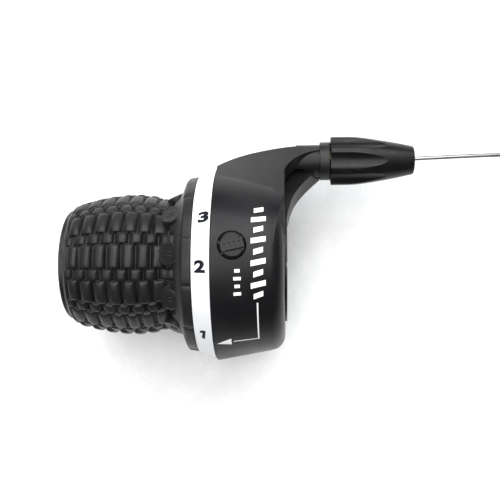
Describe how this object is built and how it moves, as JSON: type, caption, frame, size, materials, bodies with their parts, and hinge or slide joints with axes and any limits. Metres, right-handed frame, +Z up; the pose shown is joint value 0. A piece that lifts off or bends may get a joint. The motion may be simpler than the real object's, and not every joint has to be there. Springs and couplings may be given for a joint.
{
  "type": "twist-grip gear shifter",
  "caption": "Left-hand twist-grip gear shifter for a flat handlebar, with a rubber grip, a number ring, a tapered housing and an arm with a barrel adjuster for the shift wire.",
  "frame": {"origin": "on the handlebar's axis, at the housing's outboard edge", "axes": "+X inboard along the handlebar, +Y forward towards the arm, +Z up"},
  "size_m": [0.1768, 0.0574, 0.0487],
  "materials": {
    "housing_plastic": "fine spark-eroded texture, slightly greasy sheen",
    "grip_rubber": "matte moulded rubber",
    "ring_plastic": "smooth white with printed digits",
    "inner_plastic": "moulded nylon",
    "knob_plastic": "satin moulded plastic",
    "drum_plastic": "natural acetal",
    "liner_plastic": "low-friction liner",
    "zinc_steel": "bright zinc plated",
    "spring_steel": "polished spring steel",
    "wire_steel": "stranded galvanised wire",
    "brass": "turned",
    "crimp_aluminium": "bright"
  },
  "bodies": {
    "root": {"main_housing": "housing_plastic", "base_body": "inner_plastic", "clamp_screw": "zinc_steel", "clamp_nut": "zinc_steel", "housing_screws": "zinc_steel", "detent_spring": "spring_steel", "cable_guide": "liner_plastic", "threaded_boss": "inner_plastic", "inner_cable": "wire_steel", "retaining_clip": "spring_steel", "adjuster_spring": "spring_steel", "free_wire": "wire_steel", "wire_coil": "wire_steel", "end_crimp": "crimp_aluminium"},
    "twist_grip": {"rubber_sleeve": "grip_rubber", "grip_barrel": "inner_plastic", "number_ring": "ring_plastic", "cable_drum": "drum_plastic", "index_ring": "drum_plastic", "thrust_washer": "drum_plastic", "cable_head": "zinc_steel", "wound_cable": "wire_steel"},
    "cap": {"access_cap": "knob_plastic"},
    "click_seat": {"spring_seat": "drum_plastic"},
    "adjuster": {"adjuster_knob": "knob_plastic", "adjuster_screw": "brass"}
  },
  "joints": [
    {"name": "grip_turn", "type": "hinge", "parent": "root", "child": "twist_grip", "pos_m": [0, 0, 0], "axis": [1, 0, 0], "range_deg": [0, 74], "deforming": ["detent_spring"]},
    {"name": "cap_turn", "type": "hinge", "parent": "root", "child": "cap", "pos_m": [0.0048, 0.00383, 0.02314], "axis": [0.184, 0.1605, 0.9697], "range_deg": [0, 90]},
    {"name": "adjuster_travel", "type": "slide", "parent": "root", "child": "click_seat", "axis": [1, 0, 0], "range_m": [0, 0.0024], "deforming": ["adjuster_spring"]},
    {"name": "adjuster_turn", "type": "hinge", "parent": "click_seat", "child": "adjuster", "pos_m": [0.0286, 0.027, -0.00508], "axis": [1, 0, 0], "range_deg": [0, 1080]}
  ],
  "couplings": [
    {"joint": "adjuster_turn", "follows": "adjuster_travel", "rad_per_m": 7854}
  ]
}
